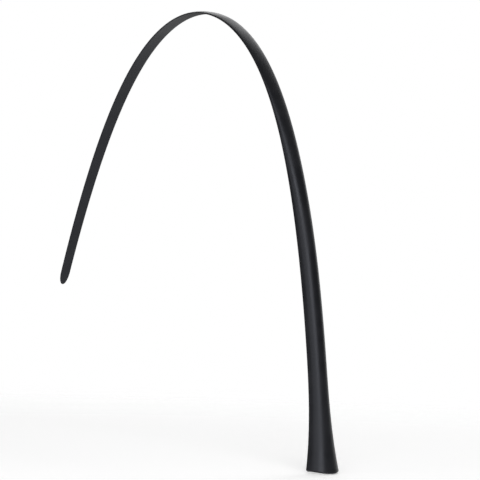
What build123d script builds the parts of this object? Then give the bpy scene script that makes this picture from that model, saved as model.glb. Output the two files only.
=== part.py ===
from build123d import *
import os
from math import cos, radians, sin, sqrt, tan, tanh

# Flexible long-handled shoehorn, bent over into an arch. Millimetres, +Z up.
# The strip lies in the XZ plane and its width runs along Y. The origin is the middle of the
# lip, at the horn's outer side edges, and "s" is always the distance along the strip from there.

# Strip
LENGTH = 800.0          # lip to tip, along the strip
BASE_WIDTH = 17.6       # the handle's taper, carried down to the lip
TIP_WIDTH = 9.1         # the handle's taper, carried up to the tip
EDGE = 1.8              # height of the straight side edges, below the crown
FLAT_CROWN = 0.4        # crown of the flat, springy part

# Direction of the strip, in degrees from straight up: a slow drift plus one bend at the apex
DRIFT_MIDDLE = 67.7
DRIFT = 27.3
BEND = 63.0
BEND_PLACE = 0.557 * LENGTH
BEND_SPREAD = 0.1735 * LENGTH

# Horn
FLARE_WIDTH = 11.8      # what the flare adds to the width at the lip
FLARE_LENGTH = 95.0
FLARE_POWER = 2.8
HORN_CROWN = 0.95       # crown over half the width, where the section is nearly half round
CROWN_FADE = (155.0, 370.0)
LIP_BULGE = 3.0         # how much lower the middle of the lip is than its corners
GROOVE_WALL = 2.8
GROOVE_FADE = (10.0, 122.0)
GROOVE_RUNOUT = 0.05    # share of the groove's full size that is left where it ends

# Inside
COVER = 0.8             # elastomer over the stiffener
NECK_END = 152.0
CORE_START = 112.0
CORE_THICKNESS = 1.2
CORE_SHARE = 0.55       # core width over strip width
RIVET_PLACES = (127.0, 141.0)
RIVET_RADIUS = 1.0
RIVET_HEAD_RADIUS = 1.9
RIVET_HEAD = 0.6
RIVET_TOP = 4.6
GUARD_LENGTH = 9.0
GUARD_WALL = 0.25       # over the core's faces
GUARD_LIP = 0.6         # past the core's edges and its end
TIP_COVER = 5.0         # elastomer past the guard
TIP_NOSE = 12.0         # length of the rounded end
NOSE_ANGLES = (20, 37, 53, 67, 80)

# Flex: the continuous strip is divided into rigid spans that turn equally
HINGES = 24
FLEX_START = 212.0
CUT_CLEARANCE = 0.45

STEP = 1.0
LIP_OVERRUN = 6.0
TOOL = 60.0             # half size of the trimming block


def fade(s, limits):
    """Falls smoothly from 1 at the first limit to 0 at the second."""
    u = min(max((s - limits[0]) / (limits[1] - limits[0]), 0.0), 1.0)
    return 1.0 - u * u * (3.0 - 2.0 * u)


def heading(s):
    """The strip's direction at s, as an angle from straight up towards -X."""
    bend = BEND * tanh((s - BEND_PLACE) / BEND_SPREAD)
    return radians(DRIFT_MIDDLE + DRIFT * s / LENGTH + bend)


def trace():
    points = [(0.0, 0.0)]
    for i in range(int(LENGTH / STEP)):
        angle = heading((i + 0.5) * STEP)
        x, z = points[-1]
        points.append((x - STEP * sin(angle), z + STEP * cos(angle)))
    return points


TRACE = trace()


def centre(s):
    """The point of the strip's line at s, carried on straight below the lip."""
    if s < 0.0:
        return -s * sin(heading(0.0)), s * cos(heading(0.0))
    i = min(int(s / STEP), len(TRACE) - 2)
    share = s / STEP - i
    (x0, z0), (x1, z1) = TRACE[i], TRACE[i + 1]
    return x0 + share * (x1 - x0), z0 + share * (z1 - z0)


def place_of(angle):
    """The s at which the strip's direction has turned to the angle."""
    low, high = 0.0, LENGTH
    while high - low > 0.001:
        middle = (low + high) / 2.0
        low, high = (middle, high) if heading(middle) < angle else (low, middle)
    return low


def station(s):
    """The plane across the strip at s: local x is the width, local y points outwards."""
    angle, (x, z) = heading(max(s, 0.0)), centre(s)
    return Plane(origin=(x, 0, z), x_dir=(0, -1, 0), z_dir=(-sin(angle), 0, cos(angle)))


def half_width(s):
    flare = max(1.0 - s / FLARE_LENGTH, 0.0) ** FLARE_POWER
    taper = BASE_WIDTH + (TIP_WIDTH - BASE_WIDTH) * s / LENGTH
    return (taper + FLARE_WIDTH * min(flare, 1.0)) / 2.0


def crown(s):
    """Height of the outer face's middle above the side edges."""
    share = fade(s, CROWN_FADE)
    return FLAT_CROWN + share * (HORN_CROWN * half_width(s) - FLAT_CROWN)


def mid_depth(s):
    """Local y of the neutral line, where the core lies."""
    return (crown(s) - EDGE) / 2.0


def d_section(s, inset=0.0, nose=1.0):
    """Flat inner face, straight side edges and an elliptical outer face."""
    half = (half_width(s) - inset) * nose
    low, top = inset - EDGE, crown(s) - inset
    outer = EllipticalCenterArc((0, 0), half, top, arc_size=180)
    inner = Polyline((-half, 0), (-half, low), (half, low), (half, 0))
    return station(s) * make_face(outer + inner)


def steps(first, last, pitch):
    count = max(round((last - first) / pitch), 2)
    return [first + (last - first) * i / count for i in range(count + 1)]


def d_solid(first, last, inset=0.0, pitch=12.0):
    return loft([d_section(s, inset) for s in steps(first, last, pitch)])


def groove(grow=0.0):
    """The tool that hollows the horn: it gets narrower and shallower up to its end."""
    sections = []
    for s in steps(-LIP_OVERRUN, GROOVE_FADE[1], 12.0):
        share = max(fade(s, GROOVE_FADE), GROOVE_RUNOUT)
        across = (half_width(s) - GROOVE_WALL) * sqrt(share) + grow
        deep = (crown(s) + EDGE - GROOVE_WALL) * share + grow
        sections.append(station(s) * Pos(0, -EDGE) * Ellipse(across, deep))
    return loft(sections)


def lip_trim(inset=0.0):
    """What lies below the bowed lip. The bow's axis runs through the horn's thickness."""
    half = half_width(0.0)
    radius = (half * half + LIP_BULGE * LIP_BULGE) / (2.0 * LIP_BULGE)
    below = Pos(0, 0, -TOOL + radius / 2.0) * Box(2 * TOOL, 2 * TOOL, 2 * TOOL)
    bow = Pos(0, 0, radius) * Rot(90, 0, 0) * Cylinder(radius - inset, 4 * TOOL)
    return station(0.0) * (below - bow)


def core_section(s, spread=0.0, thicker=0.0):
    across = 2.0 * half_width(s) * CORE_SHARE + 2.0 * spread
    return station(s) * Pos(0, mid_depth(s)) * Rectangle(across, CORE_THICKNESS + 2.0 * thicker)


def core_solid(first, last, spread=0.0, thicker=0.0, pitch=20.0):
    return loft([core_section(s, spread, thicker) for s in steps(first, last, pitch)])


def across_strip(s, radius, low, high):
    """A round bar through the strip's thickness, between two local heights."""
    bar = Pos(0, (low + high) / 2.0, 0) * Rot(90, 0, 0) * Cylinder(radius, high - low)
    return station(s) * bar


def rivet(s):
    low = COVER - EDGE
    shank = across_strip(s, RIVET_RADIUS, low, RIVET_TOP)
    foot = across_strip(s, RIVET_HEAD_RADIUS, low, low + RIVET_HEAD)
    head = across_strip(s, RIVET_HEAD_RADIUS, RIVET_TOP - RIVET_HEAD, RIVET_TOP)
    return shank + foot + head


def hinge_places():
    """Hinges at equal turns of the strip, each in the middle of its own stretch."""
    first, last = heading(FLEX_START), heading(LENGTH)
    turn = (last - first) / HINGES
    return [place_of(first + (i + 0.5) * turn) for i in range(HINGES)], turn


def spans():
    """Where each rigid span starts and ends. The cuts leave room for the full turn."""
    places, turn = hinge_places()
    cuts = []
    for s in places:
        depth = crown(s) + EDGE
        cuts.append(CUT_CLEARANCE + 0.5 * depth * tan(turn))
    starts = [0.0] + [s + cut / 2.0 for s, cut in zip(places, cuts)]
    ends = [s - cut / 2.0 for s, cut in zip(places, cuts)] + [LENGTH]
    return list(zip(starts, ends))


def tip_skin(first):
    """The last span, with its end rounded off across the width."""
    body = [d_section(s) for s in steps(first, LENGTH - TIP_NOSE, 25.0)]
    rounding = []
    for angle in NOSE_ANGLES:
        from_end = TIP_NOSE * (1.0 - sin(radians(angle)))
        rounding.append(d_section(LENGTH - from_end, nose=cos(radians(angle))))
    return loft(body) + loft([body[-1]] + rounding, ruled=True)


def horn_nodes(end):
    """The stiff lower end: skin, stiffener, rivets and the foot of the core."""
    fasteners = [rivet(s) for s in RIVET_PLACES]
    core = core_solid(CORE_START, end)
    blank = d_solid(-LIP_OVERRUN, NECK_END, COVER) - groove(COVER) - lip_trim(COVER)
    for s in RIVET_PLACES:
        blank -= across_strip(s, RIVET_HEAD_RADIUS, RIVET_TOP, TOOL)
    skin = d_solid(-LIP_OVERRUN, end) - groove() - lip_trim() - blank - core
    stiffener = blank - core
    for part in fasteners:
        skin -= part
        stiffener -= part
        core -= part
    return {
        "skin_horn": skin,
        "horn_stiffener": stiffener,
        "core_foot": core,
        "core_rivets": Compound(children=[solid for part in fasteners for solid in part.solids()]),
    }


def strip_nodes():
    ranges = spans()
    nodes = horn_nodes(ranges[0][1])
    core_end = LENGTH - TIP_COVER - GUARD_LIP
    for i, (first, last) in enumerate(ranges[1:-1], start=1):
        core = core_solid(first, last)
        nodes[f"core_{i:02d}"] = core
        nodes[f"skin_{i:02d}"] = d_solid(first, last, pitch=20.0) - core
    first = ranges[-1][0]
    core = core_solid(first, core_end)
    guard = core_solid(core_end - GUARD_LENGTH, core_end + GUARD_LIP, GUARD_LIP, GUARD_WALL)
    nodes["core_tip"] = core
    nodes["tip_guard"] = guard - core
    nodes["skin_tip"] = tip_skin(first) - core - guard
    return nodes


os.makedirs("parts", exist_ok=True)
for name, shape in strip_nodes().items():
    export_step(shape, f"parts/{name}.step")
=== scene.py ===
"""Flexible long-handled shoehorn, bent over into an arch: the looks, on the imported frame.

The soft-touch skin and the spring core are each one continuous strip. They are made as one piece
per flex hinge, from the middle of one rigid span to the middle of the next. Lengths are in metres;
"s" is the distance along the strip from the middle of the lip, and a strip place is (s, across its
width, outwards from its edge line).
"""

import math
import bpy
import bmesh
from mathutils import Matrix, Vector


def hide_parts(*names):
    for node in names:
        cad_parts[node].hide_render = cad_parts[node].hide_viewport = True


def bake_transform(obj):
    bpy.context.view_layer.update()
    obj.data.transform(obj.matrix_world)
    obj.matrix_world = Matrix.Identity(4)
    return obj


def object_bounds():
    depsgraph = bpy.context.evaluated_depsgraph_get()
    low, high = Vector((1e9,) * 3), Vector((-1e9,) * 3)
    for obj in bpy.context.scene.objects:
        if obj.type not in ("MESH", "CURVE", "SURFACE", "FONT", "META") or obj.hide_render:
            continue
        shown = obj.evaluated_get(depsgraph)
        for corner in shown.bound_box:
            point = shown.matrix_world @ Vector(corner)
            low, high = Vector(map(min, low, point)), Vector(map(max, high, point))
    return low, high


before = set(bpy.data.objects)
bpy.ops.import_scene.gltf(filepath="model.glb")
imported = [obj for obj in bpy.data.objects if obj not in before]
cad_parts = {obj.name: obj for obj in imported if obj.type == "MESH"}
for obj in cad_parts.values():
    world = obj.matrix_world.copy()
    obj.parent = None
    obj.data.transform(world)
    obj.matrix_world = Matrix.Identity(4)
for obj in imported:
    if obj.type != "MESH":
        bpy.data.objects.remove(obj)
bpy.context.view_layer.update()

MM = 0.001

# The strip's line and section, as in the CAD model
LENGTH = 800 * MM
BASE_WIDTH = 17.6 * MM
TIP_WIDTH = 9.1 * MM
EDGE = 1.8 * MM
FLAT_CROWN = 0.4 * MM
DRIFT_MIDDLE = 67.7
DRIFT = 27.3
BEND = 63.0
BEND_PLACE = 0.557 * LENGTH
BEND_SPREAD = 0.1735 * LENGTH
FLARE_WIDTH = 11.8 * MM
FLARE_LENGTH = 95 * MM
FLARE_POWER = 2.8
HORN_CROWN = 0.95
CROWN_FADE = (155 * MM, 370 * MM)
LIP_BULGE = 3.0 * MM
LIP_FADE = (0.0, 40 * MM)
GROOVE_WALL = 2.8 * MM
GROOVE_FADE = (10 * MM, 122 * MM)
GROOVE_RUNOUT = 0.22        # share of the groove's width that is left where its depth runs out
COVER = 0.8 * MM
NECK_END = 152 * MM
CORE_START = 112 * MM
CORE_THICKNESS = 1.2 * MM
CORE_SHARE = 0.55
RIVET_PLACES = (127 * MM, 141 * MM)
RIVET_RADIUS = 1.0 * MM
GUARD_LENGTH = 9 * MM
GUARD_WALL = 0.25 * MM
GUARD_LIP = 0.6 * MM
TIP_COVER = 5.0 * MM
TIP_NOSE = 12.0 * MM
CORE_END = LENGTH - TIP_COVER - GUARD_LIP
FLEX_START = 212 * MM
HINGES = 24

# How the section is rounded, and how finely it is made
EDGE_ROUND = 0.75 * MM
GROOVE_ROUND = 0.7 * MM
LIP_ROUND = 1.0 * MM
TIP_ROUND = 1.1 * MM
PARTING_RIDGE = 0.05 * MM
PARTING_HALF = 0.16 * MM
SHOULDER = 1.25 * MM        # height of the finely divided stretch beside each edge
CORNER_STEPS = 5
RIM_STEPS = 3
GROOVE_STEPS = 4
EDGE_STEPS = CORNER_STEPS + RIM_STEPS + GROOVE_STEPS
MIDDLE_STEPS = 26
HALF_LOOP = 2 * EDGE_STEPS + MIDDLE_STEPS
LOOP = 2 * HALF_LOOP
FLAT_POWER = 2.1            # how boxy the flat strip's section is; 2 is an ellipse
TRACE_STEP = 0.5 * MM
RING_PITCH = 4.0 * MM       # the furthest that rings lie apart, unless RING_TURN is less
RING_TURN = math.radians(0.8)
SEAM = 0.15 * MM            # a ring this near each seam keeps the shading smooth across it
LIP_STEPS = 6
TIP_STEPS = 30
HOLE_STEPS = 32
HOLE_DEPTH = 3 * CORE_THICKNESS
CLEARANCE = 0.03 * MM
PLACE_ERROR = 0.001 * MM    # how closely place_of finds a place
TINY = 1e-9                 # keeps a division by a coordinate of 0 finite
LIP_WEAR = (1 * MM, 9 * MM)
TIP_WEAR = (LENGTH - 8 * MM, LENGTH)

# The most that a rounding may take of what it rounds
EDGE_SHARE = 0.6            # the edge, of the half width
RIM_SHARE = 0.45            # the groove's rounding, of the flat rim
DROP_SHARE = 0.4            # the groove's rounding, of the groove's depth
SHOULDER_SHARE = 0.8        # the finely divided stretch, of the outer face's rise
PARTING_SHARE = 0.3         # the parting ridge, of the outer face's rise


def fade(s, limits):
    """Falls smoothly from 1 at the first limit to 0 at the second."""
    u = min(max((s - limits[0]) / (limits[1] - limits[0]), 0.0), 1.0)
    return 1.0 - u * u * (3.0 - 2.0 * u)


def heading(s):
    """The strip's direction at s, as an angle from straight up towards -X."""
    bend = BEND * math.tanh((s - BEND_PLACE) / BEND_SPREAD)
    return math.radians(DRIFT_MIDDLE + DRIFT * s / LENGTH + bend)


def trace():
    points = [(0.0, 0.0)]
    for i in range(round(LENGTH / TRACE_STEP)):
        angle = heading((i + 0.5) * TRACE_STEP)
        x, z = points[-1]
        points.append((x - TRACE_STEP * math.sin(angle), z + TRACE_STEP * math.cos(angle)))
    return points


TRACE = trace()


def centre(s):
    i = min(int(s / TRACE_STEP), len(TRACE) - 2)
    share = s / TRACE_STEP - i
    (x0, z0), (x1, z1) = TRACE[i], TRACE[i + 1]
    return x0 + share * (x1 - x0), z0 + share * (z1 - z0)


def place_of(angle):
    """The s at which the strip's direction has turned to the angle."""
    low, high = 0.0, LENGTH
    while high - low > PLACE_ERROR:
        middle = (low + high) / 2
        low, high = (middle, high) if heading(middle) < angle else (low, middle)
    return low


def point(s, across, outwards):
    """Where a strip place is in the frame."""
    angle, (x, z) = heading(s), centre(s)
    return (x + outwards * math.cos(angle), -across, z + outwards * math.sin(angle))


def half_width(s):
    flare = max(1 - s / FLARE_LENGTH, 0.0) ** FLARE_POWER
    return (BASE_WIDTH + (TIP_WIDTH - BASE_WIDTH) * s / LENGTH + FLARE_WIDTH * flare) / 2


def crown(s):
    share = fade(s, CROWN_FADE)
    return FLAT_CROWN + share * (HORN_CROWN * half_width(s) - FLAT_CROWN)


def mid_depth(s):
    """Where the core's middle lies, outwards from the edge line."""
    return (crown(s) - EDGE) / 2


def outer_half(s, half, waist, rise, ridge):
    """The outer face's points, from one parting ridge round to just before the other."""
    power = 2 / (2 + (FLAT_POWER - 2) * (1 - fade(s, CROWN_FADE)))
    fine = math.asin(min(SHOULDER / rise, SHOULDER_SHARE))
    first = math.asin(min(PARTING_HALF / rise, PARTING_SHARE))
    side = [first + (fine - first) * i / (EDGE_STEPS - 1) for i in range(EDGE_STEPS)]
    middle = [fine + (math.pi - 2 * fine) * i / MIDDLE_STEPS for i in range(1, MIDDLE_STEPS)]
    points = [(half + ridge, waist)]
    for a in side + middle + [math.pi - a for a in reversed(side)]:
        reach = half * abs(math.cos(a)) ** power
        points.append((math.copysign(reach, math.cos(a)), waist + rise * math.sin(a)))
    return points


def inner_half(half, waist, low, rounding, ridge, across, deep):
    """The inner face's points: rounded edge, flat rim, groove, and the same on the other side."""
    flat_start = half - rounding
    soft = min(GROOVE_ROUND, (flat_start - across) * RIM_SHARE)
    drop = min(soft, deep * DROP_SHARE)
    flat_end = across + soft
    rim = []
    for i in range(1, CORNER_STEPS + 1):
        a = math.pi / 2 * i / CORNER_STEPS
        rim.append((flat_start + rounding * math.cos(a), waist - rounding * math.sin(a)))
    for i in range(1, RIM_STEPS + 1):
        rim.append((flat_start + (flat_end - flat_start) * i / (RIM_STEPS + 1), low))
    for i in range(GROOVE_STEPS):
        a = math.pi / 2 * i / (GROOVE_STEPS - 1)
        rim.append((flat_end - soft * math.sin(a), low + drop * (1 - math.cos(a))))
    foot = rim[-1][1]
    arch = []
    for i in range(1, MIDDLE_STEPS):
        a = math.pi * i / MIDDLE_STEPS
        arch.append((-across * math.cos(a), foot + (low + deep - foot) * math.sin(a)))
    return [(-half - ridge, waist)] + [(-x, y) for x, y in rim] + arch + list(reversed(rim))


def section(s, inset=0.0, nose=1.0, thin=1.0):
    """The skin's loop at s: HALF_LOOP points over the outer face, then as many back inside.

    inset shrinks it on every side, nose narrows it and thin flattens it about its middle.
    """
    half = (half_width(s) - inset) * nose
    low = inset - EDGE
    rounding = min(EDGE_ROUND, half * EDGE_SHARE)
    waist = low + rounding
    ridge = 0.0 if inset else PARTING_RIDGE * nose
    share = fade(s, GROOVE_FADE)
    across = (half_width(s) - GROOVE_WALL) * max(math.sqrt(share), GROOVE_RUNOUT) * nose + inset
    deep = (crown(s) + EDGE - GROOVE_WALL) * share + (inset if share > 0 else 0.0)
    loop = outer_half(s, half, waist, crown(s) - inset - waist, ridge)
    loop += inner_half(half, waist, low, rounding, ridge, across, deep)
    middle = mid_depth(s)
    return [(x, middle + (y - middle) * thin) for x, y in loop]


def skin_ring(s, nose=1.0, thin=1.0):
    return [(s, x, y) for x, y in section(s, nose=nose, thin=thin)]


def core_ring(s, spread=0.0, thicker=0.0):
    """The core's outline, or one round it, on rays from its middle to the skin's points."""
    half, high = half_width(s) * CORE_SHARE + spread, CORE_THICKNESS / 2 + thicker
    round_it = max(s, NECK_END)
    ring = []
    for x, y in section(round_it):
        y -= mid_depth(round_it)
        scale = min(half / max(abs(x), TINY), high / max(abs(y), TINY))
        ring.append((s, x * scale, mid_depth(s) + y * scale))
    return ring


def lip_ring(s, inset=0.0):
    """A ring near the lip, whose middle hangs lower than its corners."""
    half = half_width(0.0)
    radius = (half * half + LIP_BULGE * LIP_BULGE) / (2 * LIP_BULGE)
    share = fade(s, LIP_FADE)
    ring = []
    for x, y in section(s, inset):
        lift = share * (radius - math.sqrt(radius * radius - x * x))
        ring.append((s + lift, x * half_width(s + lift) / half_width(s), y))
    return ring


def places(first, last):
    """Where the rings go: close together where the strip bends most, and beside each seam."""
    start, stop = first + SEAM, last - SEAM
    found, s = [start], start
    while s < stop:
        slope = (heading(s + MM) - heading(s)) / MM
        s += min(RING_PITCH, RING_TURN / slope)
        found.append(s)
    stretch = (stop - start) / (found[-1] - start)
    return [first] + [start + (s - start) * stretch for s in found] + [last]


def wear_at(index, s):
    """How exposed a skin point is: most at the two side edges, the lip and the tip."""
    from_side = min(index, abs(index - HALF_LOOP), LOOP - index) / EDGE_STEPS
    return max(1.0 - from_side, fade(s, LIP_WEAR), 1.0 - fade(s, TIP_WEAR))


def cap(bm, loop):
    """Closes a loop by joining its outer half to its inner half."""
    bm.faces.new((loop[0], loop[1], loop[-1]))
    for i in range(1, HALF_LOOP - 1):
        bm.faces.new((loop[i], loop[i + 1], loop[-i - 1], loop[-i]))
    bm.faces.new((loop[HALF_LOOP - 1], loop[HALF_LOOP], loop[HALF_LOOP + 1]))


def strip_piece(name, rings, closed, creases):
    """A closed piece from a chain of rings. A closed chain joins its last ring to its first."""
    bm = bmesh.new()
    place = bm.verts.layers.float_vector.new("strip_place")
    wear = bm.verts.layers.float.new("wear")
    loops = []
    for ring in rings:
        loop = []
        for i, (s, x, y) in enumerate(ring):
            vert = bm.verts.new(point(s, x, y))
            vert[place] = Vector((s, x, y))
            vert[wear] = wear_at(i, s)
            loop.append(vert)
        loops.append(loop)
    pairs = list(zip(loops[:-1], loops[1:]))
    if closed:
        pairs.append((loops[-1], loops[0]))
    else:
        cap(bm, loops[0])
        cap(bm, loops[-1])
    for one, two in pairs:
        for i in range(LOOP):
            j = (i + 1) % LOOP
            bm.faces.new((one[i], one[j], two[j], two[i]))
    for index in creases:
        for i in range(LOOP):
            bm.edges.get((loops[index][i], loops[index][(i + 1) % LOOP])).smooth = False
    for face in bm.faces:
        face.smooth = True
    bmesh.ops.recalc_face_normals(bm, faces=bm.faces)
    mesh = bpy.data.meshes.new(name)
    bm.to_mesh(mesh)
    bm.free()
    piece = bpy.data.objects.new(name, mesh)
    bpy.context.scene.collection.objects.link(piece)
    return piece


def seams():
    """Where one piece ends and the next starts: the middle of each rigid span."""
    first = heading(FLEX_START)
    turn = (heading(LENGTH) - first) / HINGES
    return [place_of(first + i * turn) for i in range(HINGES)] + [LENGTH]


def span_chain(first, last):
    outer = [skin_ring(s) for s in places(first, last)]
    channel = [core_ring(s) for s in reversed(places(first, last))]
    return outer + channel, (0, len(outer) - 1, len(outer), len(outer) + len(channel) - 1)


def horn_chain(last):
    """From the stiffener's seat, up the core's channel, and back down outside to the lip.

    Known fault: the rounding's rings run from the lip's end back up to the outer face, so the
    piece is closed LIP_ROUND inside its end instead of across it.
    """
    seat = [lip_ring(s, COVER) for s in places(COVER, NECK_END)]
    channel = [core_ring(s) for s in places(NECK_END, last)]
    outer = [lip_ring(s) for s in reversed(places(LIP_ROUND, last))]
    rounding = []
    for i in range(1, LIP_STEPS + 1):
        a = math.pi / 2 * (1 - i / LIP_STEPS)
        rounding.append(lip_ring(LIP_ROUND * (1 - math.sin(a)), LIP_ROUND * (1 - math.cos(a))))
    joins = (0, len(seat) - 1, len(seat), len(seat) + len(channel) - 1, len(seat) + len(channel))
    return seat + channel + outer + rounding, joins


def tip_chain(first):
    """From the guard's pocket, back down the core's channel, and outside to the rounded tip."""
    guard_start, guard_end = CORE_END - GUARD_LENGTH, CORE_END + GUARD_LIP
    wide, high = GUARD_LIP + CLEARANCE, GUARD_WALL + CLEARANCE
    pocket = [core_ring(s, wide, high) for s in reversed(places(guard_start, guard_end + CLEARANCE))]
    channel = [core_ring(s) for s in reversed(places(first, guard_start))]
    outer = [skin_ring(s) for s in places(first, LENGTH - TIP_NOSE)]
    rounding = []
    for i in range(1, TIP_STEPS):
        a = math.pi / 2 * i / TIP_STEPS
        from_end = TIP_NOSE * (1 - math.sin(a))
        flat = 1 - min(from_end / TIP_ROUND, 1.0)
        thin = math.sqrt(1 - flat * flat)
        rounding.append(skin_ring(LENGTH - from_end, nose=math.cos(a), thin=thin))
    inside = len(pocket) + len(channel)
    joins = (0, len(pocket) - 1, len(pocket), inside - 1, inside)
    return pocket + channel + outer + rounding, joins


def make_skin(edges):
    chains = [horn_chain(edges[1])]
    chains += [span_chain(edges[i], edges[i + 1]) for i in range(1, HINGES - 1)]
    chains.append(tip_chain(edges[-2]))
    pieces = []
    for i, (rings, joins) in enumerate(chains):
        middle = 0 < i < HINGES - 1
        pieces.append(strip_piece(f"skin_bend_{i + 1:02d}", rings, middle, joins))
    return pieces


def core_chain(first, last):
    rings = [core_ring(s, -CLEARANCE, -CLEARANCE) for s in places(first, last)]
    return rings, (0, len(rings) - 1)


def make_core(edges):
    limits = [CORE_START] + edges[1:-1] + [CORE_END]
    pieces = []
    for i, (first, last) in enumerate(zip(limits[:-1], limits[1:])):
        rings, joins = core_chain(first, last)
        pieces.append(strip_piece(f"core_bend_{i + 1:02d}", rings, False, joins))
    return pieces


def drill(piece, along, radius):
    """Cuts round holes for the rivets through the piece's thickness.

    Known fault: the Boolean leaves slivers and open edges in the piece's mesh.
    """
    bm = bmesh.new()
    for s in along:
        middle = Vector(point(s, 0.0, mid_depth(s)))
        outwards = Vector((math.cos(heading(s)), 0.0, math.sin(heading(s))))
        turn = outwards.to_track_quat("Z", "Y").to_matrix().to_4x4()
        bmesh.ops.create_cone(bm, cap_ends=True, segments=HOLE_STEPS, radius1=radius,
                              radius2=radius, depth=HOLE_DEPTH,
                              matrix=Matrix.Translation(middle) @ turn)
    mesh = bpy.data.meshes.new("holes")
    bm.to_mesh(mesh)
    bm.free()
    cutter = bpy.data.objects.new("holes", mesh)
    bpy.context.scene.collection.objects.link(cutter)
    cut = piece.modifiers.new("holes", "BOOLEAN")
    cut.operation = "DIFFERENCE"
    cut.object = cutter
    result = piece.evaluated_get(bpy.context.evaluated_depsgraph_get())
    piece.data = bpy.data.meshes.new_from_object(result)
    piece.modifiers.clear()
    bpy.data.objects.remove(cutter)


def bend_pieces(pieces, kind, first_node):
    """Bakes each piece's placement into its mesh and hides the CAD solids that it stands for."""
    for i, piece in enumerate(pieces):
        nodes = [first_node if i == 0 else f"{kind}_{i:02d}"]
        if i == HINGES - 1:
            nodes.append(f"{kind}_tip")
        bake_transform(piece)
        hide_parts(*nodes)


# Colours, linear, and how the skin takes the light
SKIN_DARK = (0.0080, 0.0083, 0.0098)
SKIN_LIGHT = (0.0115, 0.0118, 0.0136)
SKIN_SPECK = (0.0200, 0.0205, 0.0225)
SKIN_SCUFF = (0.0260, 0.0265, 0.0280)
SKIN_RUBBED = (0.0140, 0.0143, 0.0160)
SKIN_TINT = (0.86, 0.89, 1.0, 1.0)
SKIN_ROUGHNESS = 0.38
SKIN_SHEEN = 0.02
SKIN_SPECULAR = 0.24
STEEL_BLUED = (0.14, 0.17, 0.24)
STEEL_GREY = (0.26, 0.26, 0.28)
STEEL_GROUND = (0.42, 0.42, 0.43)
STEEL_OIL = (0.08, 0.07, 0.06)
NATURAL_NYLON = ((0.50, 0.48, 0.42), (0.60, 0.58, 0.52), (0.78, 0.77, 0.73))
BLACK_NYLON = ((0.016, 0.016, 0.018), (0.026, 0.026, 0.028), (0.06, 0.06, 0.06))
RIVET_DARK = (0.66, 0.67, 0.68)
RIVET_LIGHT = (0.80, 0.80, 0.80)
RIVET_MARK = (0.45, 0.45, 0.46)
BOARD_DARK = (0.93, 0.93, 0.93)
BOARD_LIGHT = (0.96, 0.96, 0.96)


class Nodes:
    """A material's node tree, with short calls for the nodes used here."""

    def __init__(self, name):
        self.material = bpy.data.materials.new(name)
        self.material.use_nodes = True
        self.tree = self.material.node_tree
        self.shader = self.tree.nodes["Principled BSDF"]

    def add(self, kind, **values):
        node = self.tree.nodes.new(kind)
        for key, value in values.items():
            setattr(node, key, value)
        return node

    def link(self, source, target):
        self.tree.links.new(source, target)

    def attribute(self, name):
        return self.add("ShaderNodeAttribute", attribute_name=name)

    def stretched(self, vector, scale):
        node = self.add("ShaderNodeMapping")
        node.inputs["Scale"].default_value = scale
        self.link(vector, node.inputs["Vector"])
        return node.outputs["Vector"]

    def noise(self, vector, scale, detail, roughness=0.5, distortion=0.0):
        node = self.add("ShaderNodeTexNoise")
        node.inputs["Scale"].default_value = scale
        node.inputs["Detail"].default_value = detail
        node.inputs["Roughness"].default_value = roughness
        node.inputs["Distortion"].default_value = distortion
        self.link(vector, node.inputs["Vector"])
        return node.outputs["Fac"]

    def ranged(self, value, low, high, to_low, to_high):
        node = self.add("ShaderNodeMapRange", interpolation_type="SMOOTHSTEP")
        for name, number in zip(("From Min", "From Max", "To Min", "To Max"),
                                (low, high, to_low, to_high)):
            node.inputs[name].default_value = number
        self.link(value, node.inputs["Value"])
        return node.outputs["Result"]

    def math(self, operation, one, two):
        node = self.add("ShaderNodeMath", operation=operation)
        for socket, value in zip(node.inputs, (one, two)):
            if isinstance(value, float):
                socket.default_value = value
            else:
                self.link(value, socket)
        return node.outputs["Value"]

    def mixed(self, factor, one, two):
        node = self.add("ShaderNodeMix", data_type="RGBA")
        self.link(factor, node.inputs["Factor"])
        for name, colour in (("A", one), ("B", two)):
            socket = [s for s in node.inputs if s.name == name and s.type == "RGBA"][0]
            if isinstance(colour, tuple):
                socket.default_value = (*colour, 1.0)
            else:
                self.link(colour, socket)
        return [s for s in node.outputs if s.type == "RGBA"][0]

    def bump(self, height, distance, strength, below=None):
        node = self.add("ShaderNodeBump")
        node.inputs["Distance"].default_value = distance
        node.inputs["Strength"].default_value = strength
        self.link(height, node.inputs["Height"])
        if below is not None:
            self.link(below, node.inputs["Normal"])
        return node.outputs["Normal"]

    def finish(self, colour, roughness, normal, values=()):
        self.link(colour, self.shader.inputs["Base Color"])
        self.link(roughness, self.shader.inputs["Roughness"])
        self.link(normal, self.shader.inputs["Normal"])
        for name, value in values:
            self.shader.inputs[name].default_value = value
        return self.material


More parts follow.
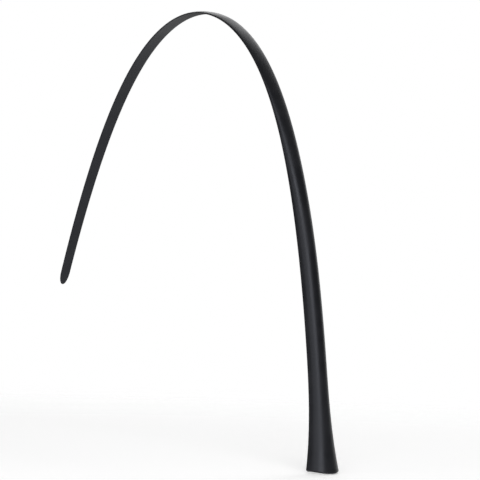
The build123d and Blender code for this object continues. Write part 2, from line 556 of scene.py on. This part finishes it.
def skin_material():
    """Satin soft-touch elastomer: fine grain, faint handling scuffs, polished-up edges."""
    nodes = Nodes("soft_touch_elastomer")
    place = nodes.attribute("strip_place").outputs["Vector"]
    wear = nodes.attribute("wear").outputs["Fac"]
    clouds = nodes.noise(place, 45.0, 4.0, 0.55)
    speckle = nodes.noise(place, 900.0, 2.0, 0.6)
    scuff = nodes.noise(nodes.stretched(place, (30.0, 420.0, 420.0)), 1.0, 5.0, 0.65, 0.6)
    grain = nodes.noise(place, 2600.0, 2.0, 0.55)
    ripple = nodes.noise(nodes.stretched(place, (60.0, 240.0, 240.0)), 1.0, 2.0)

    colour = nodes.mixed(nodes.ranged(clouds, 0.35, 0.65, 0.0, 1.0), SKIN_DARK, SKIN_LIGHT)
    colour = nodes.mixed(nodes.ranged(speckle, 0.62, 0.78, 0.0, 0.35), colour, SKIN_SPECK)
    marks = nodes.ranged(scuff, 0.62, 0.74, 0.0, 0.22)
    colour = nodes.mixed(marks, colour, SKIN_SCUFF)
    rubbed = nodes.math("MULTIPLY", wear, nodes.ranged(clouds, 0.3, 0.7, 0.1, 0.45))
    colour = nodes.mixed(rubbed, colour, SKIN_RUBBED)

    roughness = nodes.ranged(clouds, 0.3, 0.7, SKIN_ROUGHNESS - 0.04, SKIN_ROUGHNESS + 0.05)
    roughness = nodes.math("ADD", roughness, nodes.math("MULTIPLY", marks, 0.35))
    roughness = nodes.math("SUBTRACT", roughness, nodes.math("MULTIPLY", rubbed, 0.12))
    normal = nodes.bump(ripple, 0.04 * MM, 0.5)
    normal = nodes.bump(grain, 0.012 * MM, 0.7, normal)
    return nodes.finish(colour, roughness, normal, (
        ("Sheen Weight", SKIN_SHEEN),
        ("Sheen Roughness", 0.45),
        ("Specular IOR Level", SKIN_SPECULAR),
        ("Specular Tint", SKIN_TINT)))


def steel_material():
    """Blued spring steel, ground along its length."""
    nodes = Nodes("blued_spring_steel")
    place = nodes.attribute("strip_place").outputs["Vector"]
    grain = nodes.noise(nodes.stretched(place, (60.0, 5200.0, 5200.0)), 1.0, 4.0, 0.6)
    heat = nodes.noise(nodes.stretched(place, (22.0, 90.0, 90.0)), 1.0, 3.0)
    oil = nodes.noise(place, 260.0, 3.0, 0.6, 0.5)
    colour = nodes.mixed(nodes.ranged(heat, 0.35, 0.65, 0.0, 1.0), STEEL_BLUED, STEEL_GREY)
    colour = nodes.mixed(nodes.ranged(grain, 0.55, 0.75, 0.0, 0.45), colour, STEEL_GROUND)
    colour = nodes.mixed(nodes.ranged(oil, 0.6, 0.75, 0.0, 0.3), colour, STEEL_OIL)
    roughness = nodes.ranged(grain, 0.3, 0.7, 0.24, 0.42)
    return nodes.finish(colour, roughness, nodes.bump(grain, 0.012 * MM, 0.8), (("Metallic", 1.0),))


def nylon_material(name, colours, grain_scale):
    """Moulded nylon: flow marks, glass-fibre flecks and a fine spark-eroded grain."""
    dark, light, fleck = colours
    nodes = Nodes(name)
    place = nodes.add("ShaderNodeTexCoord").outputs["Object"]
    flow = nodes.noise(nodes.stretched(place, (160.0, 160.0, 35.0)), 1.0, 4.0, 0.6, 0.8)
    fibres = nodes.noise(nodes.stretched(place, (3400.0, 3400.0, 500.0)), 1.0, 2.0)
    grain = nodes.noise(place, grain_scale, 2.0)
    colour = nodes.mixed(nodes.ranged(flow, 0.35, 0.65, 0.0, 1.0), dark, light)
    colour = nodes.mixed(nodes.ranged(fibres, 0.6, 0.72, 0.0, 0.4), colour, fleck)
    roughness = nodes.ranged(flow, 0.3, 0.7, 0.46, 0.62)
    normal = nodes.bump(grain, 0.03 * MM, 0.6, nodes.bump(fibres, 0.01 * MM, 0.5))
    return nodes.finish(colour, roughness, normal)


def rivet_material():
    """Satin aluminium with tumbling marks."""
    nodes = Nodes("tumbled_aluminium")
    place = nodes.add("ShaderNodeTexCoord").outputs["Object"]
    tumbled = nodes.noise(place, 1800.0, 3.0, 0.6, 0.7)
    smear = nodes.noise(place, 500.0, 3.0, 0.5)
    colour = nodes.mixed(nodes.ranged(smear, 0.35, 0.65, 0.0, 1.0), RIVET_DARK, RIVET_LIGHT)
    colour = nodes.mixed(nodes.ranged(tumbled, 0.62, 0.75, 0.0, 0.4), colour, RIVET_MARK)
    roughness = nodes.ranged(tumbled, 0.3, 0.7, 0.28, 0.45)
    return nodes.finish(colour, roughness, nodes.bump(tumbled, 0.02 * MM, 0.7), (("Metallic", 1.0),))


def paint(obj, material):
    """Gives every material slot of the object the one material."""
    if not obj.material_slots:
        obj.data.materials.append(material)
    for place in obj.material_slots:
        place.material = material


# Camera: a long lens at half the arch's height, to one side of the horn's outer face
CAMERA_PLACE = Vector((1.9397, -1.3972, 0.1921))
CAMERA_RIGHT = Vector((0.5605, 0.8278, 0.0238))
CAMERA_BACK = Vector((0.8280, -0.5607, 0.0030))
CAMERA_LENS = 225.0
CAMERA_SENSOR = 36.0
CAMERA_REACH = 100.0

# Floor and light
FLOOR_GAP = 0.5 * MM
FLOOR_RADIUS = 1.6
FLOOR_STEPS = 96
FLOOR_CLEAR = (0.30, 1.1)   # the board thins out between these distances from its middle
FLOOR_GLOW = 0.30           # lifts the board to nearly white, with only a contact shadow
BACKGROUND = 1.0
AMBIENT = 0.13
AIM = (-0.15, 0.0, 0.18)    # a point under the arch, near its middle
LIGHTS = (                  # name, place, size, power in watts
    ("key", (2.15, -1.4, 0.9), (2.4, 1.4), 42.0),
    ("top", (1.5, -1.0, 1.9), (1.6, 1.2), 18.0),
    ("fill", (0.7, -2.35, 0.7), (2.0, 1.4), 16.0),
    ("back", (-1.5, 1.1, 1.5), (2.4, 1.2), 15.0),
    ("rim", (-0.7, 2.0, 0.9), (1.4, 2.0), 10.0),
)


def add_camera():
    data = bpy.data.cameras.new("camera")
    data.lens = CAMERA_LENS
    data.sensor_width = CAMERA_SENSOR
    data.clip_end = CAMERA_REACH
    camera = bpy.data.objects.new("camera", data)
    back = CAMERA_BACK.normalized()
    right = (CAMERA_RIGHT - back * CAMERA_RIGHT.dot(back)).normalized()
    up = back.cross(right)
    turn = Matrix((right, up, back)).transposed().to_4x4()
    camera.matrix_world = Matrix.Translation(CAMERA_PLACE) @ turn
    bpy.context.scene.collection.objects.link(camera)
    bpy.context.scene.camera = camera


def add_light(name, place, size, power):
    """A soft box at a place, facing AIM."""
    data = bpy.data.lights.new(name, "AREA")
    data.shape = "RECTANGLE"
    data.size, data.size_y = size
    data.energy = power
    light = bpy.data.objects.new(name, data)
    towards = Vector(AIM) - Vector(place)
    light.rotation_euler = towards.to_track_quat("-Z", "Z").to_euler()
    light.location = place
    bpy.context.scene.collection.objects.link(light)


def add_world():
    """A white background to look at, and a dimmer one to be lit by."""
    world = bpy.data.worlds.new("studio")
    world.use_nodes = True
    bpy.context.scene.world = world
    tree = world.node_tree
    background = tree.nodes["Background"]
    background.inputs["Color"].default_value = (1.0, 1.0, 1.0, 1.0)
    seen = tree.nodes.new("ShaderNodeLightPath")
    strength = tree.nodes.new("ShaderNodeMapRange")
    strength.inputs["To Min"].default_value = AMBIENT
    strength.inputs["To Max"].default_value = BACKGROUND
    tree.links.new(seen.outputs["Is Camera Ray"], strength.inputs["Value"])
    tree.links.new(strength.outputs["Result"], background.inputs["Strength"])


def floor_material(middle):
    """Pale matt board that thins out to nothing towards its rim."""
    nodes = Nodes("pale_floor")
    place = nodes.add("ShaderNodeTexCoord").outputs["Object"]
    distance = nodes.add("ShaderNodeVectorMath", operation="DISTANCE")
    nodes.link(place, distance.inputs[0])
    distance.inputs[1].default_value = middle
    fibre = nodes.noise(place, 300.0, 3.0)
    colour = nodes.mixed(nodes.ranged(fibre, 0.3, 0.7, 0.0, 1.0), BOARD_DARK, BOARD_LIGHT)
    roughness = nodes.ranged(fibre, 0.3, 0.7, 0.85, 0.95)
    material = nodes.finish(colour, roughness, nodes.bump(fibre, 0.05 * MM, 0.3), (
        ("Emission Color", (1.0, 1.0, 1.0, 1.0)), ("Emission Strength", FLOOR_GLOW)))
    seen = nodes.ranged(distance.outputs["Value"], *FLOOR_CLEAR, 1.0, 0.0)
    nodes.link(seen, nodes.shader.inputs["Alpha"])
    return material


def add_floor(box):
    low, high = box
    middle = ((low[0] + high[0]) / 2, (low[1] + high[1]) / 2, low[2] - FLOOR_GAP)
    bm = bmesh.new()
    bmesh.ops.create_circle(bm, cap_ends=True, segments=FLOOR_STEPS, radius=FLOOR_RADIUS,
                            matrix=Matrix.Translation(middle))
    mesh = bpy.data.meshes.new("floor")
    bm.to_mesh(mesh)
    bm.free()
    floor = bpy.data.objects.new("floor", mesh)
    bpy.context.scene.collection.objects.link(floor)
    floor.data.materials.append(floor_material(middle))


edges = seams()
skin = make_skin(edges)
core = make_core(edges)
drill(core[0], RIVET_PLACES, RIVET_RADIUS + CLEARANCE)
bend_pieces(skin, "skin", "skin_horn")
bend_pieces(core, "core", "core_foot")

elastomer, steel = skin_material(), steel_material()
for piece in skin:
    paint(piece, elastomer)
for piece in core:
    paint(piece, steel)
paint(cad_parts["horn_stiffener"], nylon_material("glass_filled_nylon", NATURAL_NYLON, 1500.0))
paint(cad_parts["tip_guard"], nylon_material("black_nylon", BLACK_NYLON, 1900.0))
paint(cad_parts["core_rivets"], rivet_material())

visual_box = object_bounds()
add_floor(visual_box)
add_world()
add_camera()
for name, place, size, power in LIGHTS:
    add_light(name, place, size, power)

view = bpy.context.scene.view_settings
view.view_transform = "Standard"
view.look = "None"
